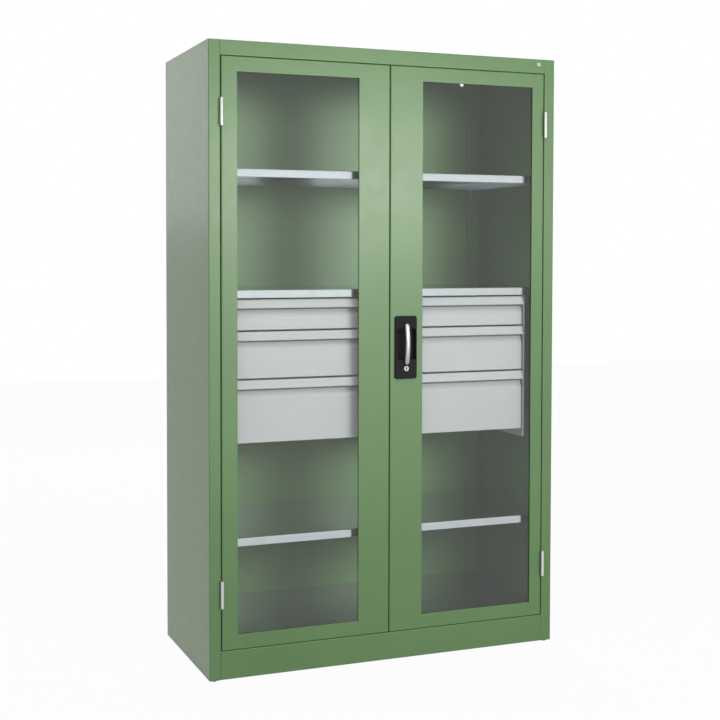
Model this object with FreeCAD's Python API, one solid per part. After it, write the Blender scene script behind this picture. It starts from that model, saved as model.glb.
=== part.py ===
import FreeCAD, Part
import math
import os

V = FreeCAD.Vector

# Overall sizes in mm: x to the right, y to the rear, z up from the floor.
body_width = 1200.0
body_depth = 500.0
body_height = 1950.0
foot_lift = 4.0

# Sheet metal and clearances.
sheet = 1.2
bend = 1.5
crisp = 0.0
shelf_sheet = 1.5
seam = 0.4
running_fit = 0.05
play = 0.3

# Carcass.
stile_width = 37.0
stile_return = 28.0
top_rail = 47.0
rail_return = 30.0
rail_lip = 14.0
plinth_top = 92.0
plinth_foot = 20.0
floor_top = 120.0
floor_setback = 24.0
sill_overlap = 2.0
back_flange = 8.0
wall_hole_radius = 7.5
wall_hole_inset = 79.0
wall_hole_drop = 20.0
cap_radius = 7.5
cap_height = 3.0
cap_rim = 0.8
cap_inset = 60.0
cap_drop = 18.0
foot_radius = 8.5
foot_top_radius = 10.0
foot_plug_height = 12.0

# Doors.
door_gap = 3.0
door_depth = 22.0
door_lip = 16.0
window_margin = 46.0
window_return = 4.0
left_inner_stile = 106.0
left_outer_stile = 51.0
right_inner_stile = 114.0
pane_thickness = 4.0
pane_overlap = 12.0
bead_width = 9.0
bead_depth = 5.0

# Hinges.
hinge_length = 84.0
lower_hinge_inset = 175.0
upper_hinge_inset = 168.0
hinge_standoff = 8.5
knuckle_radius = 5.2
pin_radius = 3.0
leaf_sheet = 1.6
leaf_depth = 20.0

# Shelves and their slotted rails.
shelf_edge = 25.0
shelf_setback = 32.0
shelf_lip = 12.0
middle_shelf_top = 1195.0
slot_pitch = 43.8
upper_shelf_row = 9
lower_shelf_row = -17
rail_end_gap = 10.0
slot_end_gap = 20.0
rail_width = 29.0
rail_proud = 6.0
front_rail_setback = 100.0
rear_rail_inset = 30.0
slot_width = 4.0
slot_height = 10.0
clip_width = 20.0
clip_leg = 26.0
clip_ledge = 18.0
clip_hook = 2.0

# Drawers.
drawer_heights = (100.0, 150.0, 200.0)
drawer_names = ("upper", "middle", "lower")
drawer_side_gap = 7.0
drawer_gap = 5.0
drawer_head_gap = 5.0
drawer_face_setback = 42.0
lip_height = 27.0
lip_proud = 10.5
lip_top_proud = 2.0
grip_depth = 11.0
grip_step = 3.0
grip_rise = 27.0
front_return = 14.0
tray_length = 400.0
tray_lift = 6.0
tray_hem = 8.0
housing_inset = 87.0
housing_flange = 6.0
housing_drop = 28.0
housing_rear_gap = 29.0
housing_back_inset = 8.0
slide_height = 45.0
slide_length = 400.0
slide_start = 10.0
slide_thickness = 12.7
slide_sheet = 1.2
slide_gap = 0.8
outer_lap = 9.5
inner_lap = 7.0

# Handle, lock and rods on the right door.
handle_x = 54.5
housing_width = 75.0
housing_height = 201.0
housing_bottom = 907.0
housing_proud = 9.0
housing_corner = 8.0
housing_edge = 2.0
recess_bottom = 968.0
recess_top = 1067.0
recess_width = 66.0
recess_depth = 14.0
recess_wall = 2.0
recess_corner = 4.0
screw_radius = 2.0
screw_head = 3.5
screw_head_height = 2.2
screw_cover = 3.0
screw_inset = 13.0
lever_width = 16.0
lever_thickness = 7.0
lever_bottom = 953.0
lever_top = 1084.0
bow_rise = 9.0
lever_edge = 1.8
pad_clearance = 0.4
spindle_radius = 5.0
spindle_square = 7.0
cam_width = 16.0
cam_end = 5.0
cam_thickness = 3.0
cam_setback = 9.0
crank_radius = 14.0
crank_pin_radius = 2.5
crank_play = 0.6
crank_pin_tail = 1.0
rod_width = 16.0
rod_thickness = 4.0
rod_offset = 12.0
rod_clearance = 0.6
rod_tip_setback = 2.0
rod_end = 10.0
strap_height = 16.0
strap_inset = 60.0
keeper_thickness = 3.0
keeper_half_width = 20.0
keeper_setback = 5.0
barrel_radius = 8.5
barrel_proud = 1.0
barrel_depth = 11.0
plug_radius = 6.0
tongue_width = 8.0
tongue_length = 16.0
lock_z = 940.0
key_slot_width = 1.6
key_slot_height = 8.0

# Door buffers and catch.
buffer_radius = 5.0
buffer_inset = 40.0
catch_width = 48.0
catch_height = 16.0
catch_inset = 30.0
catch_corner = 2.0

# Places worked out from the sizes above.
half_width = body_width / 2
bow_projection = housing_proud + pad_clearance + lever_thickness + bow_rise
front = (bow_projection - body_depth) / 2
rear = front + body_depth
stile_inner = half_width - stile_width
wall_inside = half_width - sheet
back_inside = rear - 2 * sheet
head_z = body_height - top_rail
door_outer = stile_inner - door_gap
door_inner = door_gap / 2
door_bottom = plinth_top + door_gap / 2
door_top = head_z - door_gap / 2
window_width = door_outer - door_inner - left_inner_stile - left_outer_stile
window_bottom = door_bottom + window_margin
window_top = door_top - window_margin
housing_half_width = half_width - housing_inset
drawer_half_width = housing_half_width - drawer_side_gap
hinge_x = stile_inner - door_gap / 2
hinge_y = front - hinge_standoff
pivot_z = lever_top - lever_width / 2
crank_reach = crank_radius * math.sin(math.radians(45))
rod_y = front + cam_setback + cam_thickness + rod_clearance + play
# The middle shelf carries the drawers, so its clips are half a slot longer than the others.
clip_legs = {"upper": clip_leg, "middle": clip_leg + slot_pitch / 2, "lower": clip_leg}
drawer_slot_z = middle_shelf_top - shelf_edge - clip_legs["middle"] + clip_leg / 2
shelf_rise = shelf_edge + clip_leg / 2
shelf_tops = {
    "upper": drawer_slot_z + upper_shelf_row * slot_pitch + shelf_rise,
    "middle": middle_shelf_top,
    "lower": drawer_slot_z + lower_shelf_row * slot_pitch + shelf_rise,
}


def block(x0, x1, y0, y1, z0, z1):
    return Part.makeBox(x1 - x0, y1 - y0, z1 - z0, V(x0, y0, z0))


def rod_between(radius, start, end):
    path = end - start
    return Part.makeCylinder(radius, path.Length, start, path)


def mirrored(shape):
    return shape.mirror(V(0, 0, 0), V(1, 0, 0))


def pair(shape):
    return Part.makeCompound([shape, mirrored(shape)])


def fold_edge(points, offset, thickness, radius):
    # One face of a folded sheet, with an arc at every bend unless it is folded crisp.
    lines = []
    count = len(points)
    ways = []
    for i in range(count - 1):
        du = points[i + 1][0] - points[i][0]
        dv = points[i + 1][1] - points[i][1]
        length = math.hypot(du, dv)
        ways.append((du / length, dv / length))
    first = ways[0]
    start = (points[0][0] - first[1] * offset, points[0][1] + first[0] * offset)
    for i in range(1, count - 1):
        a, b = ways[i - 1], ways[i]
        turn = math.atan2(a[0] * b[1] - a[1] * b[0], a[0] * b[0] + a[1] * b[1])
        scale = offset / (1 + a[0] * b[0] + a[1] * b[1])
        corner = (points[i][0] - (a[1] + b[1]) * scale, points[i][1] + (a[0] + b[0]) * scale)
        if radius == crisp:
            lines.append((start, corner))
            start = corner
            continue
        arc_radius = radius + thickness - offset if turn > 0 else radius + offset
        reach = arc_radius * math.tan(abs(turn) / 2)
        side = 1 if turn > 0 else -1
        enter = (corner[0] - a[0] * reach, corner[1] - a[1] * reach)
        leave = (corner[0] + b[0] * reach, corner[1] + b[1] * reach)
        centre = (enter[0] - a[1] * side * arc_radius, enter[1] + a[0] * side * arc_radius)
        span = math.hypot(corner[0] - centre[0], corner[1] - centre[1])
        middle = tuple(centre[k] + (corner[k] - centre[k]) * arc_radius / span for k in (0, 1))
        lines.append((start, enter))
        lines.append((enter, middle, leave))
        start = leave
    last = ways[-1]
    lines.append((start, (points[-1][0] - last[1] * offset, points[-1][1] + last[0] * offset)))
    return lines


def folded_sheet(points, place, travel, thickness=sheet, radius=bend):
    # A strip bent along the points; the sheet lies to the left of the path.
    near = fold_edge(points, 0, thickness, radius)
    far = fold_edge(points, thickness, thickness, radius)
    outline = near + [(near[-1][-1], far[-1][-1])]
    outline += [tuple(reversed(piece)) for piece in reversed(far)]
    outline.append((far[0][0], near[0][0]))
    edges = []
    for piece in outline:
        spots = [place(*p) for p in piece]
        if len(spots) == 3:
            edges.append(Part.Arc(*spots).toShape())
        else:
            edges.append(Part.makeLine(*spots))
    return Part.Face(Part.Wire(edges)).extrude(travel)


def upright_fold(points, z0, z1, thickness=sheet, radius=bend):
    return folded_sheet(points, lambda u, v: V(u, v, z0), V(0, 0, z1 - z0), thickness, radius)


def cross_fold(points, x0, x1, thickness=sheet, radius=bend):
    return folded_sheet(points, lambda u, v: V(x0, u, v), V(x1 - x0, 0, 0), thickness, radius)


def long_fold(points, y0, y1, thickness=sheet, radius=bend):
    return folded_sheet(points, lambda u, v: V(u, y0, v), V(0, y1 - y0, 0), thickness, radius)


def edges_on(shape, test):
    # The straight or curved edges whose two ends and middle all meet the test.
    found = []
    for edge in shape.Edges:
        spots = edge.discretize(3)
        if all(test(p) for p in spots):
            found.append(edge)
    return found


def folded_pan(width, height, depth, thickness, lip):
    # A tray bent from one sheet: face on y = 0, four sides and four lips at the rear.
    outer = block(0, width, 0, depth, 0, height)
    outer = outer.makeFillet(bend + thickness, edges_on(outer, lambda p: abs(p.y) < 1e-6))
    hollow = block(thickness, width - thickness, thickness, depth + bend + 1, thickness, height - thickness)
    hollow = hollow.makeFillet(bend, edges_on(hollow, lambda p: abs(p.y - thickness) < 1e-6))
    lips = block(thickness, width - thickness, depth - thickness, depth, thickness, height - thickness)
    lips = lips.cut(block(lip, width - lip, 0, depth + 1, lip, height - lip))
    return outer.cut(hollow).fuse(lips).removeSplitter()


def ring(x0, x1, y0, y1, z0, z1, wall):
    # A rectangular frame in the plane of a door.
    return block(x0, x1, y0, y1, z0, z1).cut(block(x0 + wall, x1 - wall, y0 - 1, y1 + 1, z0 + wall, z1 - wall))


def edges_along(shape, way):
    return [e for e in shape.Edges if abs((e.Vertexes[0].Point - e.Vertexes[1].Point).dot(way)) > 1e-6]


def soft_block(x0, x1, y0, y1, z0, z1, corner):
    # A block whose four corners are rounded, seen from the front.
    shape = block(x0, x1, y0, y1, z0, z1)
    return shape.makeFillet(corner, edges_along(shape, V(0, 1, 0)))


def turned(profile, centre, axis_y):
    # A round part from radius and depth pairs, turned about an axis that runs to the rear.
    spots = [V(centre.x + r, axis_y + d, centre.z) for r, d in profile]
    wire = Part.makePolygon(spots + [spots[0]])
    return Part.Face(wire).revolve(V(centre.x, axis_y, centre.z), V(0, 1, 0), 360)


def bore(spot, radius, y0, y1):
    return rod_between(radius, V(spot.x, y0, spot.z), V(spot.x, y1, spot.z))


parts = {}

# Carcass panels.
side_path = [
    (-half_width, rear),
    (-half_width, front),
    (-stile_inner, front),
    (-stile_inner, front + stile_return),
]
parts["left_side_panel"] = upright_fold(side_path, foot_lift, body_height - sheet)
parts["right_side_panel"] = mirrored(parts["left_side_panel"])

back_path = [
    (wall_inside, rear - sheet - back_flange),
    (wall_inside, rear - sheet),
    (-wall_inside, rear - sheet),
    (-wall_inside, rear - sheet - back_flange),
]
back = upright_fold(back_path, foot_lift, body_height - sheet)
wall_hole_x = half_width - wall_hole_inset
wall_hole_z = body_height - wall_hole_drop
wall_hole = bore(V(wall_hole_x, 0, wall_hole_z), wall_hole_radius, back_inside - 1, rear)
parts["back_panel"] = back.cut(pair(wall_hole))

top_path = [
    (rear, body_height),
    (front, body_height),
    (front, head_z),
    (front + rail_return, head_z),
    (front + rail_return, head_z + rail_lip),
]
top = cross_fold(top_path, -half_width, half_width)
shoulder = block(stile_inner - seam, half_width + 1, front - 1, rear + 1, head_z - 1, body_height - sheet)
top = top.cut(pair(shoulder))
rod_slot = block(
    -rod_width / 2 - rod_clearance, rod_width / 2 + rod_clearance,
    rod_y - rod_clearance, rod_y + rod_thickness + rod_clearance, -2 * keeper_thickness, 2 * keeper_thickness,
)
upper_rod_x = handle_x + rod_offset
lower_rod_x = handle_x - rod_offset
parts["top_panel"] = top.cut(rod_slot.translated(V(upper_rod_x, 0, head_z)))

floor_path = [
    (back_inside - play, floor_top),
    (front + floor_setback, floor_top),
    (front + floor_setback, plinth_top),
]
floor_half = wall_inside - sheet - bend
floor = cross_fold(floor_path, -floor_half, floor_half)
floor_notch = block(
    stile_inner - seam, half_width, front, front + stile_return + seam, 0, floor_top + 1,
)
parts["floor_panel"] = floor.cut(pair(floor_notch))

plinth_path = [
    (front + floor_setback + sheet + sill_overlap, plinth_top),
    (front, plinth_top),
    (front, foot_lift),
    (front + plinth_foot, foot_lift),
]
plinth = cross_fold(plinth_path, -stile_inner + seam, stile_inner - seam)
parts["plinth_panel"] = plinth.cut(rod_slot.translated(V(lower_rod_x, 0, plinth_top)))

base_rail_path = [
    (back_inside - plinth_foot, foot_lift),
    (back_inside, foot_lift),
    (back_inside, floor_top - sheet),
    (back_inside - plinth_foot, floor_top - sheet),
]
parts["rear_base_rail"] = cross_fold(base_rail_path, -stile_inner + seam, stile_inner - seam, sheet, crisp)

foot_plug_x = (stile_inner + sheet, wall_inside)
foot_front_y = (front + sheet, front + stile_return)
foot_rear_y = (back_inside - back_flange - stile_return, back_inside - back_flange - sheet)
feet = []
for y0, y1 in (foot_front_y, foot_rear_y):
    foot = block(foot_plug_x[0], foot_plug_x[1], y0, y1, foot_lift, foot_lift + foot_plug_height)
    foot = foot.makeChamfer(bend + play, edges_along(foot, V(0, 0, 1)))
    middle = V(sum(foot_plug_x) / 2, (y0 + y1) / 2, 0)
    foot = foot.fuse(Part.makeCone(foot_radius, foot_top_radius, foot_lift, middle, V(0, 0, 1)))
    feet += [foot, mirrored(foot)]
parts["corner_feet"] = Part.makeCompound(feet)

cap_spot = V(half_width - cap_inset, 0, body_height - cap_drop)
cap_profile = [(0, -cap_height), (cap_radius * 2 / 3, -cap_height), (cap_radius, -cap_rim), (cap_radius, 0), (0, 0)]
parts["top_rail_cap"] = turned(cap_profile, cap_spot, front)

# Slotted rails, clips and shelves.
rail_low = floor_top + rail_end_gap
rail_high = head_z - rail_end_gap
wall_rail_x = -wall_inside
wall_rail_face = wall_rail_x + rail_proud
wall_rail_y = (front + front_rail_setback, front + front_rail_setback + rail_width)
back_rail_x = (-half_width + rear_rail_inset, -half_width + rear_rail_inset + rail_width)
back_rail_face = back_inside - rail_proud
wall_rail_path = [
    (wall_rail_x, wall_rail_y[0]),
    (wall_rail_face, wall_rail_y[0]),
    (wall_rail_face, wall_rail_y[1]),
    (wall_rail_x, wall_rail_y[1]),
]
back_rail_path = [
    (back_rail_x[0], back_inside),
    (back_rail_x[0], back_rail_face),
    (back_rail_x[1], back_rail_face),
    (back_rail_x[1], back_inside),
]
wall_rail_mid = sum(wall_rail_y) / 2
back_rail_mid = sum(back_rail_x) / 2
wall_slot = block(
    wall_rail_face - sheet - 1, wall_rail_face + 1,
    wall_rail_mid - slot_width / 2, wall_rail_mid + slot_width / 2, -slot_height / 2, slot_height / 2,
)
back_slot = block(
    back_rail_mid - slot_width / 2, back_rail_mid + slot_width / 2,
    back_rail_face - 1, back_rail_face + sheet + 1, -slot_height / 2, slot_height / 2,
)
first_row = math.ceil((rail_low + slot_end_gap - drawer_slot_z) / slot_pitch)
last_row = math.floor((rail_high - slot_end_gap - drawer_slot_z) / slot_pitch)
slot_heights = [drawer_slot_z + n * slot_pitch for n in range(first_row, last_row + 1)]
wall_slots = Part.makeCompound([wall_slot.translated(V(0, 0, z)) for z in slot_heights])
back_slots = Part.makeCompound([back_slot.translated(V(0, 0, z)) for z in slot_heights])
wall_rail = upright_fold(wall_rail_path, rail_low, rail_high, sheet, crisp).cut(wall_slots)
back_rail = upright_fold(back_rail_path, rail_low, rail_high, sheet, crisp).cut(back_slots)
parts["front_shelf_rails"] = pair(wall_rail)
parts["rear_shelf_rails"] = pair(back_rail)

shelf_half = -wall_rail_face - play
shelf_depth = back_rail_face - play - front - shelf_setback
clips = []
for name, top_z in shelf_tops.items():
    shelf = folded_pan(2 * shelf_half, shelf_depth, shelf_edge, shelf_sheet, shelf_lip)
    shelf.rotate(V(0, 0, 0), V(1, 0, 0), -90)
    shelf.translate(V(-shelf_half, front + shelf_setback, top_z))
    parts[name + "_shelf"] = shelf
    seat_z = top_z - shelf_edge
    leg_z = seat_z - clip_legs[name]
    hook_z = leg_z + clip_leg / 2
    hook = slot_height / 2 - play
    wall_path = [(wall_rail_face + clip_ledge, seat_z), (wall_rail_face, seat_z), (wall_rail_face, leg_z)]
    wall_clip = long_fold(
        wall_path, wall_rail_mid - clip_width / 2, wall_rail_mid + clip_width / 2, shelf_sheet, crisp,
    )
    tab = block(
        wall_rail_face - sheet - clip_hook, wall_rail_face,
        wall_rail_mid - shelf_sheet / 2, wall_rail_mid + shelf_sheet / 2, hook_z - hook, hook_z + hook,
    )
    wall_clip = wall_clip.fuse(tab)
    rear_path = [(back_rail_face, leg_z), (back_rail_face, seat_z), (back_rail_face - clip_ledge, seat_z)]
    back_clip = cross_fold(
        rear_path, back_rail_mid - clip_width / 2, back_rail_mid + clip_width / 2, shelf_sheet, crisp,
    )
    tab = block(
        back_rail_mid - shelf_sheet / 2, back_rail_mid + shelf_sheet / 2,
        back_rail_face, back_rail_face + sheet + clip_hook, hook_z - hook, hook_z + hook,
    )
    back_clip = back_clip.fuse(tab)
    clips += [wall_clip, mirrored(wall_clip), back_clip, mirrored(back_clip)]
parts["shelf_clips"] = Part.makeCompound(clips)

# Drawer housing, slides and drawers.
housing_y = (front + shelf_setback + shelf_sheet + shelf_lip + seam, rear - housing_rear_gap)
stack_top = middle_shelf_top - shelf_edge - drawer_head_gap
stack_bottom = stack_top - sum(drawer_heights) + drawer_gap
plate_path = [
    (housing_half_width + 2 * housing_flange, housing_y[1]),
    (housing_half_width, housing_y[1]),
    (housing_half_width, housing_y[0]),
    (housing_half_width + housing_flange, housing_y[0]),
]
plate = upright_fold(plate_path, stack_bottom - housing_drop, middle_shelf_top - shelf_sheet, sheet, crisp)
parts["drawer_housing_right"] = plate
parts["drawer_housing_left"] = mirrored(plate)
housing_back_y = housing_y[1] - housing_back_inset
parts["drawer_housing_back"] = block(
    -housing_half_width, housing_half_width, housing_back_y, housing_back_y + sheet,
    stack_bottom - housing_drop, stack_top,
)

face = front + drawer_face_setback
tray_front = face + front_return
tray_rear = tray_front + tray_length
tray_half = housing_half_width - slide_thickness
slide_y = (housing_y[0] + slide_start, housing_y[0] + slide_start + slide_length)
slide_step = slide_sheet + slide_gap
middle_web = housing_half_width - slide_step
middle_lap = outer_lap - slide_step
outer_members = []
drawer_top = stack_top
for name, height in zip(drawer_names, drawer_heights):
    drawer_bottom = drawer_top - height + drawer_gap
    grip_z = drawer_top - lip_height
    front_path = [
        (tray_front, drawer_top),
        (face - lip_top_proud, drawer_top),
        (face - lip_proud, grip_z),
        (face + grip_depth, grip_z - grip_step),
        (face, grip_z - grip_step - grip_rise),
        (face, drawer_bottom),
        (tray_front, drawer_bottom),
    ]
    parts[name + "_drawer_front"] = cross_fold(front_path, -drawer_half_width, drawer_half_width)

    tray_bottom = drawer_bottom + tray_lift
    tray_top = drawer_top - 2 * tray_lift
    tray_path = [
        (-tray_half + tray_hem, tray_top),
        (-tray_half, tray_top),
        (-tray_half, tray_bottom),
        (tray_half, tray_bottom),
        (tray_half, tray_top),
        (tray_half - tray_hem, tray_top),
    ]
    tray = long_fold(tray_path, tray_front, tray_rear, sheet, crisp)
    inner_front = block(
        -tray_half + sheet, tray_half - sheet, tray_front, tray_front + sheet, drawer_bottom, drawer_top,
    )
    inner_back = block(
        -tray_half + sheet, tray_half - sheet, tray_rear - sheet, tray_rear, tray_bottom + sheet, tray_top,
    )
    tray = tray.fuse([inner_front, inner_back])
    parts[name + "_drawer_tray"] = tray.removeSplitter()

    slide_z = (tray_bottom + tray_top) / 2
    half = slide_height / 2
    outer_path = [
        (housing_half_width - outer_lap, slide_z - half),
        (housing_half_width, slide_z - half),
        (housing_half_width, slide_z + half),
        (housing_half_width - outer_lap, slide_z + half),
    ]
    outer = long_fold(outer_path, slide_y[0], slide_y[1], slide_sheet, crisp)
    outer_members += [outer, mirrored(outer)]
    half -= slide_step
    middle_path = [
        (middle_web - middle_lap, slide_z - half),
        (middle_web, slide_z - half),
        (middle_web, slide_z + half),
        (middle_web - middle_lap, slide_z + half),
    ]
    member = long_fold(middle_path, slide_y[0], slide_y[1], slide_sheet, crisp)
    parts[name + "_slide_middle_members"] = pair(member)
    half -= slide_step
    inner_path = [
        (tray_half + inner_lap, slide_z + half),
        (tray_half, slide_z + half),
        (tray_half, slide_z - half),
        (tray_half + inner_lap, slide_z - half),
    ]
    member = long_fold(inner_path, slide_y[0], slide_y[1], slide_sheet, crisp)
    parts[name + "_slide_inner_members"] = pair(member)
    drawer_top -= height
parts["drawer_slide_outer_members"] = Part.makeCompound(outer_members)

# Doors: a folded pan with a window, the pane behind it and its clamping bead.
windows = {
    "left": (-door_inner - left_inner_stile - window_width, -door_inner - left_inner_stile),
    "right": (door_inner + right_inner_stile, door_inner + right_inner_stile + window_width),
}
pane_y = front + window_return
bead_y = pane_y + pane_thickness
for side, (x0, x1) in windows.items():
    door = folded_pan(door_outer - door_inner, door_top - door_bottom, door_depth, sheet, door_lip)
    door.translate(V(-door_outer if side == "left" else door_inner, front, door_bottom))
    frame = ring(
        x0 - sheet, x1 + sheet, front, pane_y, window_bottom - sheet, window_top + sheet, sheet,
    )
    door = door.cut(block(x0, x1, front - 1, front + 2, window_bottom, window_top))
    door = door.fuse(frame).removeSplitter()
    mouth = edges_on(door, lambda p: abs(p.y - front) < 1e-6 and x0 - 0.1 < p.x < x1 + 0.1
                     and window_bottom - 0.1 < p.z < window_top + 0.1)
    parts[side + "_door_panel"] = door.makeFillet(bend, mouth)
    lap = pane_overlap
    parts[side + "_window_pane"] = block(
        x0 - lap, x1 + lap, pane_y, bead_y, window_bottom - lap, window_top + lap,
    )
    parts[side + "_pane_bead"] = ring(
        x0 - lap, x1 + lap, bead_y, bead_y + bead_depth, window_bottom - lap, window_top + lap, bead_width,
    )

# Barrel hinges: the lower half sits on the stile, the upper half on the door.
frame_leaves = []
door_leaves = []
pins = []
for z in (door_bottom + lower_hinge_inset, door_top - upper_hinge_inset):
    foot = V(hinge_x, hinge_y, z - hinge_length / 2)
    head = V(hinge_x, hinge_y, z + hinge_length / 2)
    waist_low = V(hinge_x, hinge_y, z - play / 2)
    waist_high = V(hinge_x, hinge_y, z + play / 2)
    pin_bore = rod_between(pin_radius + running_fit, foot - V(0, 0, 1), head + V(0, 0, 1))
    leaf_rear = front + leaf_depth
    leaf = block(stile_inner - leaf_sheet, stile_inner, hinge_y, leaf_rear, foot.z, waist_low.z)
    frame_leaves.append(rod_between(knuckle_radius, foot, waist_low).fuse(leaf).cut(pin_bore))
    leaf = block(door_outer, door_outer + leaf_sheet, hinge_y, leaf_rear, waist_high.z, head.z)
    door_leaves.append(rod_between(knuckle_radius, waist_high, head).fuse(leaf).cut(pin_bore))
    pins.append(rod_between(pin_radius, foot, head))
parts["right_hinge_frame_leaves"] = Part.makeCompound(frame_leaves)
parts["right_hinge_door_leaves"] = Part.makeCompound(door_leaves)
parts["left_hinge_frame_leaves"] = mirrored(parts["right_hinge_frame_leaves"])
parts["left_hinge_door_leaves"] = mirrored(parts["right_hinge_door_leaves"])
parts["hinge_pins"] = pair(Part.makeCompound(pins))

# Handle housing with its finger recess.
pad_y = front - housing_proud
left_x = handle_x - housing_width / 2
right_x = handle_x + housing_width / 2
housing_top = housing_bottom + housing_height
shell = soft_block(left_x, right_x, pad_y, front, housing_bottom, housing_top, housing_corner)
shell = shell.makeChamfer(housing_edge, edges_on(shell, lambda p: abs(p.y - pad_y) < 1e-6))
recess_floor = pad_y + recess_depth
tub_half = recess_width / 2 + recess_wall
tub = soft_block(
    handle_x - tub_half, handle_x + tub_half, front - 1, recess_floor + recess_wall,
    recess_bottom - recess_wall, recess_top + recess_wall, recess_corner + recess_wall,
)
recess = soft_block(
    handle_x - recess_width / 2, handle_x + recess_width / 2, pad_y - 1, recess_floor,
    recess_bottom, recess_top, recess_corner,
)
spindle_spot = V(handle_x, 0, pivot_z)
lock_spot = V(handle_x, 0, lock_z)
screw_spots = [V(handle_x, 0, housing_bottom + screw_inset), V(handle_x, 0, housing_top - screw_inset)]
screw_front = pad_y + screw_cover
screw_rear = front + sheet + screw_head_height
shell = shell.fuse(tub).cut(recess).removeSplitter()
shell = shell.cut(bore(spindle_spot, spindle_radius + running_fit, pad_y - 1, front + 1))
shell = shell.cut(bore(lock_spot, barrel_radius + running_fit, pad_y - 1, front + 1))
for spot in screw_spots:
    shell = shell.cut(bore(spot, screw_radius + running_fit, screw_front, front + 1))
parts["handle_housing"] = shell
screws = []
for spot in screw_spots:
    angles = [math.radians(60 * n) for n in range(7)]
    corners = [(spot.x + screw_head * math.cos(a), spot.z + screw_head * math.sin(a)) for a in angles]
    hexagon = Part.makePolygon([V(x, front + sheet, z) for x, z in corners])
    head = Part.Face(hexagon).extrude(V(0, screw_head_height, 0))
    screws.append(bore(spot, screw_radius, screw_front, front + sheet).fuse(head))
parts["housing_screws"] = Part.makeCompound(screws)

# The bow lever: a curved strip with rounded ends, on a spindle that carries the rod cam.
lever_y = pad_y - pad_clearance
lever_mid = (lever_bottom + lever_top) / 2
lever_x = handle_x - lever_width / 2
lever_spots = [
    V(lever_x, lever_y, lever_top),
    V(lever_x, lever_y - lever_thickness, lever_top),
    V(lever_x, lever_y - lever_thickness - bow_rise, lever_mid),
    V(lever_x, lever_y - lever_thickness, lever_bottom),
    V(lever_x, lever_y, lever_bottom),
    V(lever_x, lever_y, lever_bottom + lever_width),
    V(lever_x, lever_y - bow_rise, lever_mid),
    V(lever_x, lever_y, lever_top - lever_width),
]
lever_edges = [
    Part.makeLine(lever_spots[0], lever_spots[1]),
    Part.Arc(lever_spots[1], lever_spots[2], lever_spots[3]).toShape(),
    Part.makeLine(lever_spots[3], lever_spots[4]),
    Part.makeLine(lever_spots[4], lever_spots[5]),
    Part.Arc(lever_spots[5], lever_spots[6], lever_spots[7]).toShape(),
    Part.makeLine(lever_spots[7], lever_spots[0]),
]
lever = Part.Face(Part.Wire(lever_edges)).extrude(V(lever_width, 0, 0))
outline = soft_block(
    lever_x, lever_x + lever_width, lever_y - 2 * bow_projection, lever_y + 1, lever_bottom, lever_top, lever_width / 2 - 0.5,
)
lever = lever.common(outline).removeSplitter()
crest = edges_on(lever, lambda p: p.y < lever_y - lever_thickness + 0.5)
lever = lever.makeChamfer(lever_edge, [e for e in crest if e.Length > lever_thickness])
parts["handle_lever"] = lever
cam_y = front + cam_setback
square = spindle_square / 2
tail = block(
    handle_x - square, handle_x + square, cam_y, cam_y + cam_thickness, pivot_z - square, pivot_z + square,
)
parts["handle_spindle"] = bore(spindle_spot, spindle_radius, lever_y, cam_y).fuse(tail)
cam_half = crank_radius + cam_end
cam = block(-cam_half, cam_half, cam_y, cam_y + cam_thickness, -cam_width / 2, cam_width / 2)
cam = cam.makeChamfer(cam_end, edges_along(cam, V(0, 1, 0)))
cam.rotate(V(0, 0, 0), V(0, 1, 0), 45)
cam = cam.translated(spindle_spot).cut(tail)
upper_pin = V(handle_x + crank_reach, 0, pivot_z - crank_reach)
lower_pin = V(handle_x - crank_reach, 0, pivot_z + crank_reach)
pin_rear = rod_y + rod_thickness + crank_pin_tail
for spot in (upper_pin, lower_pin):
    cam = cam.fuse(bore(spot, crank_pin_radius, cam_y + cam_thickness / 2, pin_rear))
parts["rod_cam"] = cam.removeSplitter()

# Lock rods: each has a cross slot on its crank pin and slides through straps on the door.
slot_half = crank_pin_radius + crank_play
near_edge = crank_reach - slot_half
far_edge = crank_radius + slot_half


def lock_rod(x, z0, z1, pin_z, side):
    bar = block(x - rod_width / 2, x + rod_width / 2, rod_y, rod_y + rod_thickness, z0, z1)
    ends = sorted((handle_x + side * near_edge, handle_x + side * far_edge))
    return bar.cut(block(ends[0], ends[1], rod_y - 1, rod_y + rod_thickness + 1, pin_z - slot_half, pin_z + slot_half))


parts["upper_lock_rod"] = lock_rod(
    upper_rod_x, upper_pin.z - rod_end, door_top - rod_tip_setback, upper_pin.z, 1,
)
parts["lower_lock_rod"] = lock_rod(
    lower_rod_x, door_bottom + rod_tip_setback, lower_pin.z + rod_end, lower_pin.z, -1,
)
strap_half = rod_width / 2 + rod_clearance + sheet
strap_y = rod_y + rod_thickness + rod_clearance + sheet
straps = []
for x, z in (
    (upper_rod_x, window_top - strap_inset), (upper_rod_x, (pivot_z + window_top) / 2),
    (lower_rod_x, (window_bottom + housing_bottom) / 2), (lower_rod_x, window_bottom + strap_inset),
):
    strap_path = [
        (x + strap_half, front + sheet),
        (x + strap_half, strap_y),
        (x - strap_half, strap_y),
        (x - strap_half, front + sheet),
    ]
    straps.append(upright_fold(strap_path, z - strap_height / 2, z + strap_height / 2, sheet, crisp))
parts["rod_guides"] = Part.makeCompound(straps)

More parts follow.
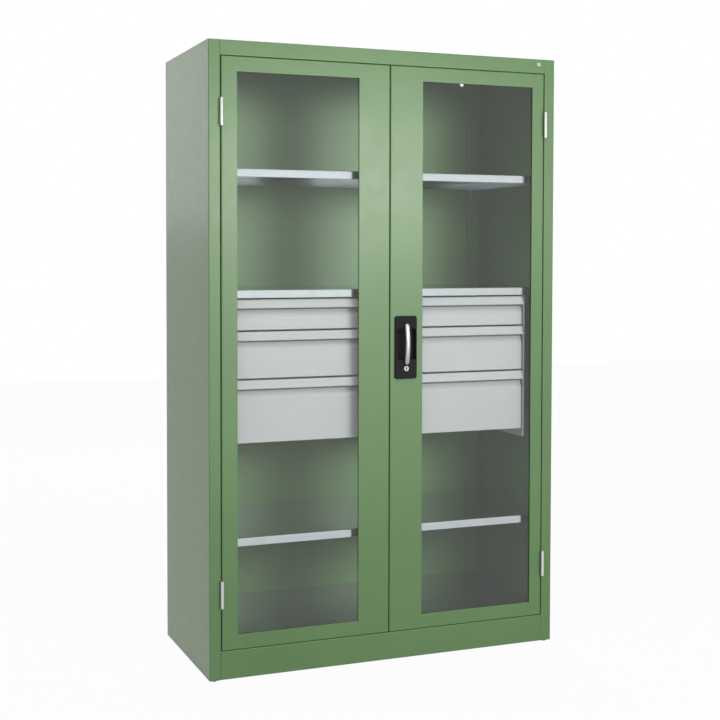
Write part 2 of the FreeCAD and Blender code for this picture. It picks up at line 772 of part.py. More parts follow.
door = parts["right_door_panel"]
door = door.cut(rod_slot.translated(V(upper_rod_x, 0, door_top)))
door = door.cut(rod_slot.translated(V(lower_rod_x, 0, door_bottom)))
door = door.cut(soft_block(
    handle_x - tub_half - play, handle_x + tub_half + play, front - 1, front + sheet + 1,
    recess_bottom - recess_wall - play, recess_top + recess_wall + play, recess_corner + recess_wall,
))
door = door.cut(bore(spindle_spot, spindle_radius + play, front - 1, front + sheet + 1))
door = door.cut(bore(lock_spot, barrel_radius + play, front - 1, front + sheet + 1))
for spot in screw_spots:
    door = door.cut(bore(spot, screw_radius + running_fit, front - 1, front + sheet + 1))
parts["right_door_panel"] = door

keeper = block(
    -keeper_half_width, keeper_half_width, front + keeper_setback, front + floor_setback, 0, keeper_thickness,
).cut(rod_slot)
parts["upper_rod_keeper"] = keeper.translated(V(upper_rod_x, 0, head_z + sheet))
parts["lower_rod_keeper"] = keeper.translated(V(lower_rod_x, 0, plinth_top - sheet - keeper_thickness))

# Cylinder lock: the barrel stays in the housing and the plug turns in it.
barrel_front = -housing_proud - barrel_proud
plug_bore = plug_radius + running_fit
barrel_profile = [
    (plug_bore, barrel_front), (barrel_radius, barrel_front), (barrel_radius, barrel_depth), (plug_bore, barrel_depth),
]
parts["lock_barrel"] = turned(barrel_profile, lock_spot, front)
plug = bore(lock_spot, plug_radius, front + barrel_front, front + barrel_depth)
plug = plug.cut(block(
    handle_x - key_slot_width / 2, handle_x + key_slot_width / 2, front + barrel_front - 1, front,
    lock_z - key_slot_height / 2, lock_z + key_slot_height / 2,
))
tongue = block(
    handle_x - tongue_width / 2, handle_x + tongue_width / 2,
    front + barrel_depth, front + barrel_depth + sheet, lock_z - tongue_width / 2, lock_z + tongue_length,
)
parts["lock_plug"] = plug.fuse(tongue)

# Rubber buffers behind both doors and the magnetic catch that holds the left one.
stop_y = front + door_depth + play
buffers = []
for x in (buffer_inset, door_outer - buffer_inset):
    spot = V(x, 0, door_bottom + door_lip / 2)
    buffers.append(bore(spot, buffer_radius, stop_y, front + floor_setback))
parts["door_buffers"] = pair(Part.makeCompound(buffers))
parts["magnetic_catch"] = soft_block(
    -catch_inset - catch_width, -catch_inset, stop_y, front + rail_return, head_z - catch_height, head_z, catch_corner,
)

os.makedirs("parts", exist_ok=True)
for name, shape in parts.items():
    shape.exportStep("parts/" + name + ".step")
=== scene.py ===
import math

import bmesh
import bpy
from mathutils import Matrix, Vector


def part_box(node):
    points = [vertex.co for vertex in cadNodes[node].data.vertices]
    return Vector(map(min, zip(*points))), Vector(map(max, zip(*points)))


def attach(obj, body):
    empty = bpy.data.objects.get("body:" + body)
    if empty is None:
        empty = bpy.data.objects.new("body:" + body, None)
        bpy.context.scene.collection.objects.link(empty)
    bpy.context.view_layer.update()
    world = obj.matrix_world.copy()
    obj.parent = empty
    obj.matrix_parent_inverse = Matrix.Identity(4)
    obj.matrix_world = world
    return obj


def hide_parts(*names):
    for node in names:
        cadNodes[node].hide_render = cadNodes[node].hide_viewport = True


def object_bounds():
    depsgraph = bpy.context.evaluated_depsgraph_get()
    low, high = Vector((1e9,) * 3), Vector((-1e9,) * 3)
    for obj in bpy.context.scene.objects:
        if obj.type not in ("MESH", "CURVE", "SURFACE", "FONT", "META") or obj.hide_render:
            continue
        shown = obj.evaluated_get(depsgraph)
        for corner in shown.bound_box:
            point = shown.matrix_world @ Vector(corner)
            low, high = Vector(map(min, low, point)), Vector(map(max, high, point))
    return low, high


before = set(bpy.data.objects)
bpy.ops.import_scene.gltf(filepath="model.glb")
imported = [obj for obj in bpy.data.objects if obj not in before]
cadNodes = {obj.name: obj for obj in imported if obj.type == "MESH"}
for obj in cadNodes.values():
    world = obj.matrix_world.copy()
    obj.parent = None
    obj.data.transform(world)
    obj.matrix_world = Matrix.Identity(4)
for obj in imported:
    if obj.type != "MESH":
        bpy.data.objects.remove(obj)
cadLow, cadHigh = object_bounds()
scene = bpy.context.scene
print("cabinet frame loaded,", len(cadNodes), "solids")


# node helpers, shared by all finishes
def newFinish(name, colour, roughness, metallic=0.0):
    finish = bpy.data.materials.new(name)
    finish.use_nodes = True
    coat = finish.node_tree.nodes["Principled BSDF"]
    coat.inputs["Base Color"].default_value = (*colour, 1)
    coat.inputs["Roughness"].default_value = roughness
    coat.inputs["Metallic"].default_value = metallic
    return finish, finish.node_tree, coat


def addNode(tree, kind, values):
    node = tree.nodes.new(kind)
    for socket, value in values.items():
        if hasattr(value, "is_output"):
            tree.links.new(value, node.inputs[socket])
        else:
            node.inputs[socket].default_value = value
    return node


def spot(tree, stretch=(1, 1, 1)):  # place on the piece, metres
    place = tree.nodes.new("ShaderNodeTexCoord")
    moved = addNode(tree, "ShaderNodeMapping", {"Vector": place.outputs["Object"]})
    moved.vector_type = "POINT"
    moved.inputs["Scale"].default_value = stretch
    return moved.outputs["Vector"]


def grain(tree, scale, detail=3.0, stretch=(1, 1, 1)):
    noise = addNode(
        tree,
        "ShaderNodeTexNoise",
        {"Vector": spot(tree, stretch), "Scale": scale, "Detail": detail},
    )
    return noise.outputs["Fac"]


def ramp(tree, fac, stops):  # stops: (position, colour)
    node = addNode(tree, "ShaderNodeValToRGB", {"Fac": fac})
    bar = node.color_ramp.elements
    while len(bar) < len(stops):
        bar.new(0.5)
    for stop, (place, colour) in zip(bar, stops):
        stop.position = place
        stop.color = (*colour, 1)
    return node.outputs["Color"]


def spread(tree, fac, low, high, fromLow=0.3, fromHigh=0.7):
    node = addNode(
        tree,
        "ShaderNodeMapRange",
        {"Value": fac, "From Min": fromLow, "From Max": fromHigh, "To Min": low, "To Max": high},
    )
    return node.outputs["Result"]


def relief(tree, height, strength, distance):
    values = {"Height": height, "Strength": strength, "Distance": distance}
    return addNode(tree, "ShaderNodeBump", values).outputs["Normal"]


def shade(colour, share):
    return tuple(min(1.0, c * share) for c in colour)


def tones(look, low, high):  # ramp stops from the dark to the pale side of a colour
    return [(low, shade(look["colour"], look["dark"])), (high, shade(look["colour"], look["pale"]))]


# powder coat: faint cloudy tone, orange peel, roughness that wanders
def powderCoat(name, look):
    finish, tree, coat = newFinish(name, look["colour"], look["roughness"][0])
    cloud = grain(tree, look["cloud"], 4.0)
    tree.links.new(ramp(tree, cloud, tones(look, 0.3, 0.7)), coat.inputs["Base Color"])
    rough = spread(tree, grain(tree, look["cloud"] * look["wander"], 3.0), *look["roughness"])
    tree.links.new(rough, coat.inputs["Roughness"])
    coat.inputs["Specular IOR Level"].default_value = look["shine"]
    peel = grain(tree, look["peel"], 1.5)
    bumps = relief(tree, peel, look["peelStrength"], look["peelDepth"])
    tree.links.new(bumps, coat.inputs["Normal"])
    return finish


bodyCoat = {
    "colour": (0.121, 0.229, 0.090),
    "pale": 1.04,
    "dark": 0.96,
    "cloud": 3.5,
    "wander": 9,  # scale of the roughness patches beside the tone clouds
    "roughness": (0.285, 0.335),
    "shine": 0.4,
    "peel": 520.0,
    "peelStrength": 0.012,
    "peelDepth": 0.0006,
}
greenCoat = powderCoat("green_powder_coat", bodyCoat)
insideCoat = powderCoat(
    "green_powder_coat_inside",
    {**bodyCoat, "roughness": (0.42, 0.5), "peelStrength": 0.005},
)
drawerLook = {
    **bodyCoat,
    "colour": (0.60, 0.60, 0.61),
    "pale": 1.02,
    "dark": 0.98,
    "roughness": (0.3, 0.38),
    "peelStrength": 0.006,
}
drawerCoat = powderCoat("light_grey_powder_coat", drawerLook)


# rolled galvanised sheet: soft spangle and fine rolling lines
def zincSheet(name, look):
    finish, tree, coat = newFinish(name, look["colour"], look["roughness"][0], 1.0)
    flakes = addNode(
        tree,
        "ShaderNodeTexVoronoi",
        {"Vector": spot(tree), "Scale": look["spangle"], "Randomness": 1.0},
    )
    lot = tree.nodes.new("ShaderNodeSeparateColor")
    tree.links.new(flakes.outputs["Color"], lot.inputs["Color"])
    colour = ramp(tree, lot.outputs["Red"], tones(look, 0.0, 1.0))
    tree.links.new(colour, coat.inputs["Base Color"])
    rough = spread(tree, lot.outputs["Green"], *look["roughness"], 0.0, 1.0)
    tree.links.new(rough, coat.inputs["Roughness"])
    lines = grain(tree, look["lines"], 2.0, look["along"])
    bumps = relief(tree, lines, look["lineStrength"], look["lineDepth"])
    tree.links.new(bumps, coat.inputs["Normal"])
    return finish


shelfLook = {
    "colour": (0.56, 0.59, 0.615),
    "pale": 1.02,
    "dark": 0.98,
    "spangle": 70.0,
    "roughness": (0.13, 0.16),
    "lines": 900.0,
    "along": (0.02, 1, 1),
    "lineStrength": 0.006,
    "lineDepth": 0.0003,
}
shelfZinc = zincSheet("galvanised_shelf_sheet", shelfLook)
slideZinc = zincSheet(
    "bright_zinc_slide",
    {**shelfLook, "spangle": 160.0, "roughness": (0.28, 0.34), "along": (1, 0.02, 1)},
)
rodZinc = zincSheet(
    "zinc_plated_bar",
    {**shelfLook, "spangle": 240.0, "roughness": (0.28, 0.36), "along": (1, 1, 0.02)},
)


# turned or brushed metal
def brushedMetal(name, look):
    finish, tree, coat = newFinish(name, look["colour"], look["roughness"][0], 1.0)
    lines = grain(tree, look["lines"], 3.0, look["along"])
    tree.links.new(ramp(tree, lines, tones(look, 0.25, 0.75)), coat.inputs["Base Color"])
    tree.links.new(spread(tree, lines, *look["roughness"]), coat.inputs["Roughness"])
    bumps = relief(tree, lines, look["lineStrength"], look["lineDepth"])
    tree.links.new(bumps, coat.inputs["Normal"])
    return finish


hingeLook = {
    "colour": (0.56, 0.56, 0.55),
    "pale": 1.04,
    "dark": 0.94,
    "lines": 1400.0,
    "along": (0.05, 0.05, 1),
    "roughness": (0.42, 0.5),
    "lineStrength": 0.03,
    "lineDepth": 0.0002,
}
hingeSteel = brushedMetal("plated_hinge_steel", hingeLook)
leverMetal = brushedMetal(
    "satin_lever_casting",
    {**hingeLook, "colour": (0.37, 0.37, 0.375), "along": (1, 1, 0.04), "roughness": (0.3, 0.38)},
)
lockMetal = brushedMetal(
    "plated_lock_brass",
    {**hingeLook, "colour": (0.74, 0.74, 0.75), "along": (1, 1, 1), "roughness": (0.14, 0.22)},
)


# moulded plastic and rubber: spark-eroded grain
def mouldedGrain(name, look):
    finish, tree, coat = newFinish(name, look["colour"], look["roughness"][0])
    cloud = grain(tree, look["grain"] * look["cloudShare"], 3.0)
    tree.links.new(ramp(tree, cloud, tones(look, 0.3, 0.7)), coat.inputs["Base Color"])
    coat.inputs["Specular IOR Level"].default_value = look["shine"]
    fine = grain(tree, look["grain"], 2.0)
    tree.links.new(spread(tree, fine, *look["roughness"]), coat.inputs["Roughness"])
    bumps = relief(tree, fine, look["grainStrength"], look["grainDepth"])
    tree.links.new(bumps, coat.inputs["Normal"])
    return finish


housingLook = {
    "colour": (0.009, 0.009, 0.010),
    "pale": 1.15,
    "dark": 0.85,
    "roughness": (0.45, 0.58),
    "shine": 0.32,
    "grain": 900.0,
    "cloudShare": 0.05,  # scale of the tone clouds beside the grain
    "grainStrength": 0.12,
    "grainDepth": 0.0005,
}
softLook = {**housingLook, "roughness": (0.6, 0.75), "grain": 500.0}
handlePlastic = mouldedGrain("black_handle_plastic", housingLook)
footPlastic = mouldedGrain("dark_green_glide", {**housingLook, "colour": (0.05, 0.085, 0.04)})
beadRubber = mouldedGrain("black_glazing_strip", {**housingLook, "roughness": (0.55, 0.7)})
# dark grey strip finish under the drawer lips: a painted shadow line
lipShadowRubber = mouldedGrain("dark_grey_lip_shadow_strip", {**softLook, "colour": (0.10, 0.10, 0.105)})
bufferRubber = mouldedGrain("soft_black_rubber", softLook)


# clear pane: mirrors a little, lets lamps straight through
paneLook = {"colour": (0.93, 0.95, 0.94), "pale": 1.01, "dark": 0.99, "smear": 5.0, "bend": 1.47}


def clearPane(look):
    finish, tree, coat = newFinish("clear_acrylic_pane", look["colour"], 0.0)
    coat.inputs["Transmission Weight"].default_value = 1.0
    coat.inputs["IOR"].default_value = look["bend"]
    smear = grain(tree, look["smear"], 4.0)
    tree.links.new(ramp(tree, smear, tones(look, 0.3, 0.7)), coat.inputs["Base Color"])
    through = addNode(tree, "ShaderNodeBsdfTransparent", {"Color": (*look["colour"], 1)})
    path = tree.nodes.new("ShaderNodeLightPath")
    both = addNode(
        tree,
        "ShaderNodeMath",
        {0: path.outputs["Is Shadow Ray"], 1: path.outputs["Is Diffuse Ray"]},
    )
    both.operation = "MAXIMUM"
    mix = addNode(
        tree,
        "ShaderNodeMixShader",
        {0: both.outputs[0], 1: coat.outputs[0], 2: through.outputs[0]},
    )
    tree.links.new(mix.outputs[0], tree.nodes["Material Output"].inputs["Surface"])
    return finish


windowPane = clearPane(paneLook)
print("finishes made")

# which finish each solid carries
bodyPanels = ["left_side_panel", "right_side_panel", "top_panel", "plinth_panel"]
doorPanels = ["left_door_panel", "right_door_panel"]
panes = ["left_window_pane", "right_window_pane"]
hingeLeaves = [
    side + "_hinge_" + half + "_leaves" for half in ("frame", "door") for side in ("left", "right")
]
lockRods = ["handle_spindle", "rod_cam", "upper_lock_rod", "lower_lock_rod", "rod_guides"]
rodEnds = ["upper_rod_keeper", "lower_rod_keeper", "housing_screws"]
dressing = [
    (greenCoat, bodyPanels + doorPanels),
    (insideCoat, ["back_panel", "rear_base_rail", "front_shelf_rails", "rear_shelf_rails"]),
    (shelfZinc, ["floor_panel", "upper_shelf", "middle_shelf", "lower_shelf", "shelf_clips"]),
    (drawerCoat, ["drawer_housing_left", "drawer_housing_right", "drawer_housing_back"]),
    (slideZinc, ["drawer_slide_outer_members"]),
    (hingeSteel, hingeLeaves + ["hinge_pins", "top_rail_cap"]),
    (windowPane, panes),
    (beadRubber, ["left_pane_bead", "right_pane_bead"]),
    (handlePlastic, ["handle_housing"]),
    (leverMetal, ["handle_lever"]),
    (lockMetal, ["lock_barrel", "lock_plug"]),
    (rodZinc, lockRods + rodEnds),
    (footPlastic, ["corner_feet", "magnetic_catch"]),
    (bufferRubber, ["door_buffers"]),
]
for level in ("upper", "middle", "lower"):
    dressing.append((drawerCoat, [level + "_drawer_front", level + "_drawer_tray"]))
    dressing.append((slideZinc, [level + "_slide_middle_members", level + "_slide_inner_members"]))
for finish, names in dressing:
    for name in names:
        cadNodes[name].data.materials.clear()
        cadNodes[name].data.materials.append(finish)
print("solids dressed")

# folded sheet has softly rolled edges, the doors have theirs in the solid
rolledEdges = {"width": 0.0004, "steps": 2, "angle": 40, "weld": 0.00001, "skip": doorPanels}


def rollEdges(solid):
    weld = solid.modifiers.new("weld", "WELD")
    weld.merge_threshold = rolledEdges["weld"]
    roll = solid.modifiers.new("roll", "BEVEL")
    roll.width = rolledEdges["width"]
    roll.segments = rolledEdges["steps"]
    roll.limit_method = "ANGLE"
    roll.angle_limit = math.radians(rolledEdges["angle"])
    roll.use_clamp_overlap = True
    roll.harden_normals = False
    even = solid.modifiers.new("even", "WEIGHTED_NORMAL")
    even.keep_sharp = True


for finish, names in dressing:
    if finish is windowPane:
        continue
    for name in names:
        if name not in rolledEdges["skip"]:
            rollEdges(cadNodes[name])
print("edges rolled")


# pieces shaped here rather than in the solids
def newPiece(name, build, look, finishes, body):
    shape = bmesh.new()
    build(shape, look)
    bmesh.ops.recalc_face_normals(shape, faces=shape.faces[:])
    mesh = bpy.data.meshes.new(name)
    shape.to_mesh(mesh)
    shape.free()
    for finish in finishes:
        mesh.materials.append(finish)
    piece = bpy.data.objects.new(name, mesh)
    scene.collection.objects.link(piece)
    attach(piece, body)
    return piece


def addRing(shape, spots):
    return [shape.verts.new(spot) for spot in spots]


def skinRings(shape, rings, finish=0, capFirst=True, capLast=True, smooth=True):
    for near, far in zip(rings, rings[1:]):
        for i in range(len(near)):
            j = (i + 1) % len(near)
            face = shape.faces.new((near[i], near[j], far[j], far[i]))
            face.smooth = smooth
            face.material_index = finish
    for wanted, ring in ((capFirst, rings[0]), (capLast, rings[-1])):
        if wanted:
            shape.faces.new(ring).material_index = finish


def rounded(angle, power):  # a point on a soft-cornered oval, half sizes 1
    c, s = math.cos(angle), math.sin(angle)
    return math.copysign(abs(c) ** power, c), math.copysign(abs(s) ** power, s)


# bow lever: a half-round casting that stands clear of the finger recess
bowLever = {
    "centre": 0.0545,
    "bottom": 0.9531,
    "top": 1.0839,
    "seat": -0.2468,
    "half": 0.0079,
    "endThick": 0.0034,
    "midThick": 0.0044,
    "rise": 0.0080,
    "power": 0.88,
    "endTaper": 0.45,  # share of the thickness left at the very tips
    "reach": 0.498,  # half the length that the stations cover
    "stations": 56,
    "around": 32,
}


def buildBowLever(shape, look):
    length = look["top"] - look["bottom"]
    rings = []
    for k in range(look["stations"] + 1):
        t = 0.5 - look["reach"] * math.cos(math.pi * k / look["stations"])
        swell = 4 * t * (1 - t)
        toEnd = min(t, 1 - t) * length
        inset = max(0.0, look["half"] - toEnd)
        half = math.sqrt(look["half"] ** 2 - inset**2)
        full = half / look["half"]
        thick = look["endThick"] + (look["midThick"] - look["endThick"]) * swell
        thick *= look["endTaper"] + (1 - look["endTaper"]) * full
        slope = look["rise"] * 4 * (1 - 2 * t) / length
        lean = math.atan(slope)
        y = look["seat"] - look["endThick"] - look["rise"] * swell
        z = look["bottom"] + t * length
        spots = []
        for i in range(look["around"]):
            u, v = rounded(2 * math.pi * i / look["around"], look["power"])
            out = thick * v
            x = look["centre"] + half * u
            spots.append((x, y - out * math.cos(lean), z - out * math.sin(lean)))
        rings.append(addRing(shape, spots))
    skinRings(shape, rings)


lever = newPiece("bow_lever", buildBowLever, bowLever, [leverMetal], "handle")
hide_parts("handle_lever")

# key face: a thin disc on the lock plug with the key slot cut through it; the slot's walls and
# floor are black plastic, painted shade of a deep keyway
keyFace = {
    "centre": (0.0545, 0.940),
    "back": -0.24728,
    "front": -0.2481,
    "radius": 0.0057,
    "chamfer": 0.0003,
    "slot": (0.0019, 0.0050),
    "slotTaper": (0.9, 0.95),
    "slotPower": 1.3,
    "slotLift": 0.00004,
    "around": 48,
}


def buildKeyFace(shape, look):
    cx, cz = look["centre"]

    def loop(halfX, halfZ, y, power=1.0):
        spots = []
        for i in range(look["around"]):
            u, v = rounded(2 * math.pi * i / look["around"], power)
            spots.append((cx + halfX * u, y, cz + halfZ * v))
        return addRing(shape, spots)

    r = look["radius"]
    face = r - look["chamfer"]
    shoulder = look["front"] + look["chamfer"]
    slotX, slotZ = look["slot"]
    taperX, taperZ = look["slotTaper"]
    under = look["back"] - look["slotLift"]
    power = look["slotPower"]
    rim = [loop(r, r, look["back"]), loop(r, r, shoulder), loop(face, face, look["front"])]
    mouth = loop(slotX, slotZ, look["front"], power)
    floor = loop(slotX * taperX, slotZ * taperZ, under, power)
    skinRings(shape, rim + [mouth], 0, True, False)
    # black slot walls and a shallow black floor: painted shade standing in for the dark keyway
    skinRings(shape, [mouth, floor], 1, False, True)


newPiece("key_face", buildKeyFace, keyFace, [lockMetal, handlePlastic], "lock_plug")

# lock bezel: a turned ring with a soft shoulder round the plug
lockBezel = {
    "centre": keyFace["centre"],
    "profile": [  # radius, y
        (0.0061, -0.24728),
        (0.0061, -0.2477),
        (0.0066, -0.2481),
        (0.0078, -0.2481),
        (0.0084, -0.2477),
        (0.0084, -0.24728),
    ],
    "around": 56,
}


def buildLockBezel(shape, look):
    cx, cz = look["centre"]
    angles = [2 * math.pi * i / look["around"] for i in range(look["around"])]
    rings = []
    for radius, y in look["profile"]:
        spots = [(cx + radius * math.cos(a), y, cz + radius * math.sin(a)) for a in angles]
        rings.append(addRing(shape, spots))
    skinRings(shape, rings + rings[:1], 0, False, False)


newPiece("lock_bezel", buildLockBezel, lockBezel, [lockMetal], "right_door")


# small round fixings, all turned about the way they face
fixing = {"around": 24, "arms": 4}  # arms of the cross recess


def turnRings(shape, at, way, steps):  # steps: radius, rise, share between the arms
    turn = Vector((0, 0, 1)).rotation_difference(Vector(way)).to_matrix()
    around = fixing["around"]
    armStep = around // fixing["arms"]
    rings = []
    for radius, rise, cross in steps:
        spots = []
        for i in range(around):
            angle = 2 * math.pi * i / around
            onArm = i % armStep in (armStep - 1, 0, 1)
            share = radius if onArm else radius * cross
            point = Vector((share * math.cos(angle), share * math.sin(angle), rise))
            spots.append(Vector(at) + turn @ point)
        rings.append(addRing(shape, spots))
    skinRings(shape, rings)


# profiles: shares of radius and height, and the share kept between the arms
screwHead = {
    "radius": 0.0033,
    "height": 0.0019,
    "profile": [
        (1, 0, 1),
        (1, 0.35, 1),
        (0.88, 0.75, 1),
        (0.62, 1, 1),
        (0.5, 1, 0.4),
        (0.4, 0.35, 0.4),
    ],
}
weldMark = {
    "radius": 0.0048,
    "height": 0.00035,
    "profile": [(1, 0, 1), (0.86, 1, 1), (0.66, 1, 1), (0.5, 0.3, 1)],
}


def addFixing(shape, at, way, look):
    r, h = look["radius"], look["height"]
    turnRings(shape, at, way, [(r * out, h * up, cross) for out, up, cross in look["profile"]])


def evenly(low, high, count):
    return [low + (high - low) * k / (count - 1) for k in range(count)]


# glazing screws on the inside of each door
beadScrews = {"inset": 0.0045, "upright": 10, "across": 3}


def buildBeadScrews(shape, look):
    low, high = look["strip"]
    inset = beadScrews["inset"]
    left, right = low.x + inset, high.x - inset
    foot, head = low.z + inset, high.z - inset
    for z in evenly(foot, head, beadScrews["upright"]):
        for x in (left, right):
            addFixing(shape, (x, high.y, z), (0, 1, 0), screwHead)
    for x in evenly(left, right, beadScrews["across"] + 2)[1:-1]:
        for z in (foot, head):
            addFixing(shape, (x, high.y, z), (0, 1, 0), screwHead)


for side in ("left", "right"):
    strip = {"strip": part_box(side + "_pane_bead")}
    name = side + "_glazing_screws"
    newPiece(name, buildBeadScrews, strip, [rodZinc], side + "_door")

# weld marks on the rear face, over the shelf rails and the base rail
rearWelds = {
    "upright": 13,
    "rows": (0.5475, 0.5635),
    "foot": 0.16,
    "head": 1.86,
    "across": 9,
    "reach": 0.5,
    "baseRows": (0.03, 0.10),
}


def buildRearWelds(shape, look):
    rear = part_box("back_panel")[1].y
    for z in evenly(look["foot"], look["head"], look["upright"]):
        for x in look["rows"]:
            addFixing(shape, (x, rear, z), (0, 1, 0), weldMark)
            addFixing(shape, (-x, rear, z), (0, 1, 0), weldMark)
    for x in evenly(-look["reach"], look["reach"], look["across"]):
        for z in look["baseRows"]:
            addFixing(shape, (x, rear, z), (0, 1, 0), weldMark)


newPiece("rear_weld_marks", buildRearWelds, rearWelds, [greenCoat], "carcass")

# dark strips tucked under the drawer lips, painted shadow: they stand in for the shade line beneath
# each lip
lipShadowStrip = {
    "drop": 0.027,
    "play": 0.0002,
    "height": 0.0042,
    "front": -0.1985,
    "depth": 0.008,
    "inset": 0.004,
    "round": 0.0012,
    "roundSteps": 4,
}


def buildLipShadowStrip(shape, look):
    low, high = look["frontBox"]
    top = high.z - look["drop"] - look["play"]
    y, deep, r = look["front"], look["depth"], look["round"]
    foot = top - look["height"]
    outline = [(y, top), (y + deep, top), (y + deep, foot)]
    for k in range(look["roundSteps"] + 1):
        angle = math.pi / 2 * k / look["roundSteps"]
        outline.append((y + r - r * math.sin(angle), foot + r - r * math.cos(angle)))
    sides = (low.x + look["inset"], high.x - look["inset"])
    ends = [addRing(shape, [(x, v, w) for v, w in outline]) for x in sides]
    skinRings(shape, ends, 0, True, True, False)


for level in ("upper", "middle", "lower"):
    strip = {**lipShadowStrip, "frontBox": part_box(level + "_drawer_front")}
    name = level + "_lip_shadow_strip"
    newPiece(name, buildLipShadowStrip, strip, [lipShadowRubber], level + "_drawer")

# catch screws, under the top rail
catchScrews = {"x": (-0.071, -0.037), "y": -0.2112}


def buildCatchScrews(shape, look):
    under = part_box("magnetic_catch")[0].z
    for x in look["x"]:
        addFixing(shape, (x, look["y"], under), (0, 0, -1), screwHead)


newPiece("catch_screws", buildCatchScrews, catchScrews, [rodZinc], "carcass")

# corner angles behind the joints of the plinth with the stiles
jointAngles = {
    "face": -0.5630,
    "play": 0.00004,
    "slip": 0.00034,  # width of the tongue that fills the joint
    "filler": -0.23727,
    "reach": 0.02,
    "gauge": 0.0010,
    "front": -0.23605,
    "depth": 0.02,
    "footGap": 0.002,
    "headGap": 0.003,
}


def buildJointAngles(shape, look):
    face = look["face"] + look["play"]
    front, gauge = look["front"], look["gauge"]
    angle = [
        (face, look["filler"]),
        (face + look["slip"], look["filler"]),
        (face + look["slip"], front),
        (face + look["reach"], front),
        (face + look["reach"], front + gauge),
        (face + gauge, front + gauge),
        (face + gauge, front + look["depth"]),
        (face, front + look["depth"]),
    ]
    low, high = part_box("plinth_panel")
    span = (low.z + look["footGap"], high.z - look["headGap"])
    for side in (1, -1):
        ends = [addRing(shape, [(side * x, y, z) for x, y in angle]) for z in span]
        skinRings(shape, ends, 0, True, True, False)


newPiece(
    "plinth_joint_angles", buildJointAngles, jointAngles, [greenCoat], "carcass"
)

# slim fillers in the joints of the top rail with the stiles
railFiller = {
    "face": -0.5630,
    "width": 0.00034,
    "front": -0.23727,
    "rear": -0.2361,
    "play": 0.00003,
    "footGap": 0.002,
    "headGap": 0.0016,
}


def buildRailFillers(shape, look):
    low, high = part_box("top_panel")
    span = (low.z + look["footGap"], high.z - look["headGap"])
    x0 = look["face"] + look["play"]
    x1 = x0 + look["width"]
    front, rear = look["front"], look["rear"]
    outline = [(x0, front), (x1, front), (x1, rear), (x0, rear)]
    for side in (1, -1):
        ends = [addRing(shape, [(side * x, y, z) for x, y in outline]) for z in span]
        skinRings(shape, ends, 0, True, True, False)


newPiece(
    "top_rail_joint_fillers", buildRailFillers, railFiller, [greenCoat], "carcass"
)

# top rail cap: a pressed-in plug with a dished head
railCap = {
    "steps": [  # radius, rise
        (0.0075, 0.0),
        (0.0074, 0.0012),
        (0.0066, 0.0023),
        (0.0052, 0.0027),
        (0.0042, 0.0020),
        (0.0020, 0.0013),
    ]
}


def buildRailCap(shape, look):
    low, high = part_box("top_rail_cap")
    centre = ((low.x + high.x) / 2, high.y, (low.z + high.z) / 2)
    turnRings(shape, centre, (0, -1, 0), [(radius, rise, 1) for radius, rise in look["steps"]])


capHead = newPiece("rail_cap_head", buildRailCap, railCap, [rodZinc], "carcass")
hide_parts("top_rail_cap")
print("small pieces shaped")

# studio: white surround, soft lamps, pale floor
studio = {"ambient": 0.41, "white": 1.0}


def seenRays(tree):  # 1 for rays that show the surround: camera, mirror and glass
    path = tree.nodes.new("ShaderNodeLightPath")
    seen = path.outputs["Is Camera Ray"]
    for ray in ("Is Glossy Ray", "Is Transmission Ray"):
        either = addNode(tree, "ShaderNodeMath", {0: seen, 1: path.outputs[ray]})
        either.operation = "MAXIMUM"
        seen = either.outputs[0]
    return seen


def lightSurround(look):
    world = bpy.data.worlds.new("studio_surround")
    scene.world = world
    world.use_nodes = True
    tree = world.node_tree
    soft = tree.nodes["Background"]
    soft.inputs["Color"].default_value = (1, 1, 1, 1)
    soft.inputs["Strength"].default_value = look["ambient"]
    white = addNode(
        tree, "ShaderNodeBackground", {"Color": (1, 1, 1, 1), "Strength": look["white"]}
    )
    shown = {0: seenRays(tree), 1: soft.outputs[0], 2: white.outputs[0]}
    mix = addNode(tree, "ShaderNodeMixShader", shown)
    tree.links.new(mix.outputs[0], tree.nodes["World Output"].inputs["Surface"])


lightSurround(studio)

lamps = {
    "front_key_softbox": {
        "at": (1.2, -3.8, 1.78),
        "towards": (-0.2, 0.0, 1.42),
        "size": (2.0, 0.8),
        "power": 14,
        "beam": 80,
    },
    "high_front_softbox": {
        "at": (-0.8, -2.4, 4.3),
        "towards": (0.0, 0.0, 1.2),
        "size": (3.0, 1.6),
        "power": 50,
        "beam": 180,
    },
    "back_left_softbox": {
        "at": (-2.3, 4.8, 2.3),
        "towards": (-0.6, 0.0, 1.5),
        "size": (2.0, 1.6),
        "power": 8,
        "beam": 180,
    },
    "low_front_softbox": {
        "at": (1.0, -3.8, 0.55),
        "towards": (-0.1, 0.0, 0.5),
        "size": (2.4, 1.0),
        "power": 6,
        "beam": 110,
    },
    "rear_softbox": {
        "at": (1.2, 4.5, 2.6),
        "towards": (0.0, 0.2, 1.0),
        "size": (2.4, 1.6),
        "power": 40,
        "beam": 180,
    },
    "inside_fill": {
        "at": (1.1, -3.8, 2.0),
        "towards": (-0.05, 0.0, 1.5),
        "size": (3.0, 1.3),
        "power": 34,
        "beam": 80,
    },
}


def hangLamp(name, look):
    light = bpy.data.lights.new(name, "AREA")
    light.shape = "RECTANGLE"
    light.size, light.size_y = look["size"]
    light.energy = look["power"]
    light.spread = math.radians(look["beam"])
    lamp = bpy.data.objects.new(name, light)
    lamp.location = look["at"]
    aim = Vector(look["towards"]) - Vector(look["at"])
    lamp.rotation_euler = aim.to_track_quat("-Z", "Y").to_euler()
    scene.collection.objects.link(lamp)
    return lamp


def lightGroup(name, members, state):  # which pieces a lamp reaches or skips
    group = bpy.data.collections.new(name)
    for member in members:
        shaped = bpy.data.objects.get(member)
        group.objects.link(shaped or cadNodes[member])
    for entry in group.collection_objects:
        entry.light_linking.link_state = state
    return group


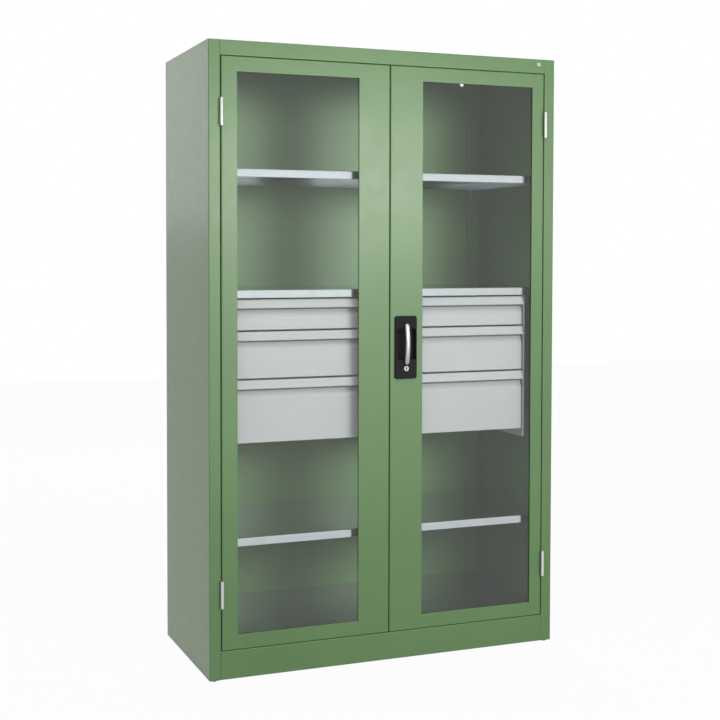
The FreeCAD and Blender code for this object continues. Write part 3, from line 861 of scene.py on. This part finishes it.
lockParts = ["key_face", "lock_bezel", "lock_barrel", "lock_plug"]
brightParts = lockParts + ["handle_housing", "rail_cap_head"]
allButPanes = lightGroup("lamps_skip_panes", panes, "EXCLUDE")
paintOnly = lightGroup("key_skips_bright_parts", panes + brightParts, "EXCLUDE")
backWall = lightGroup("fill_on_back_wall", ["back_panel", "rear_shelf_rails"], "INCLUDE")
ownGroup = {
    "inside_fill": backWall,
    "front_key_softbox": paintOnly,
    "low_front_softbox": paintOnly,
}
for name, look in lamps.items():
    lamp = hangLamp(name, look)
    lamp.light_linking.receiver_collection = ownGroup.get(name, allButPanes)

floorLook = {
    "reach": 9.0,
    "paint": (0.7, 0.7, 0.7),
    "ownWhite": 0.965,  # share of plain white that rays see in the floor
    "fleck": 30.0,
    "roughness": (0.86, 0.94),
}


def layFloor(look):
    mesh = bpy.data.meshes.new("studio_floor")
    r = look["reach"]
    low = cadLow.z
    corners = [(-r, -r, low), (r, -r, low), (r, r, low), (-r, r, low)]
    mesh.from_pydata(corners, [], [(0, 1, 2, 3)])
    floor = bpy.data.objects.new("studio_floor", mesh)
    scene.collection.objects.link(floor)
    finish, tree, coat = newFinish("pale_studio_floor", look["paint"], look["roughness"][0])
    coat.inputs["Specular IOR Level"].default_value = 0.0
    fleck = grain(tree, look["fleck"], 3.0)
    tree.links.new(spread(tree, fleck, *look["roughness"]), coat.inputs["Roughness"])
    glow = addNode(tree, "ShaderNodeEmission", {"Color": (1, 1, 1, 1), "Strength": 1.0})
    share = addNode(tree, "ShaderNodeMath", {0: seenRays(tree), 1: look["ownWhite"]})
    share.operation = "MULTIPLY"
    shown = {0: share.outputs[0], 1: coat.outputs[0], 2: glow.outputs[0]}
    mix = addNode(tree, "ShaderNodeMixShader", shown)
    tree.links.new(mix.outputs[0], tree.nodes["Material Output"].inputs["Surface"])
    mesh.materials.append(finish)


layFloor(floorLook)
print("studio lit")

# camera at the photograph's viewing angle
viewpoint = {
    "at": (-1.6678, -3.8023, 1.2989),
    "yaw": 0.3555,
    "down": math.radians(2),
    "lens": 61.71,
    "shift": (0.0994, -0.0844),
}
lensData = bpy.data.cameras.new("catalogue_camera")
lensData.lens = viewpoint["lens"]
lensData.shift_x, lensData.shift_y = viewpoint["shift"]
camera = bpy.data.objects.new("catalogue_camera", lensData)
camera.location = viewpoint["at"]
camera.rotation_euler = (math.pi / 2 - viewpoint["down"], 0, -viewpoint["yaw"])
scene.collection.objects.link(camera)
scene.camera = camera
scene.view_settings.view_transform = "Standard"

print("scene ready")
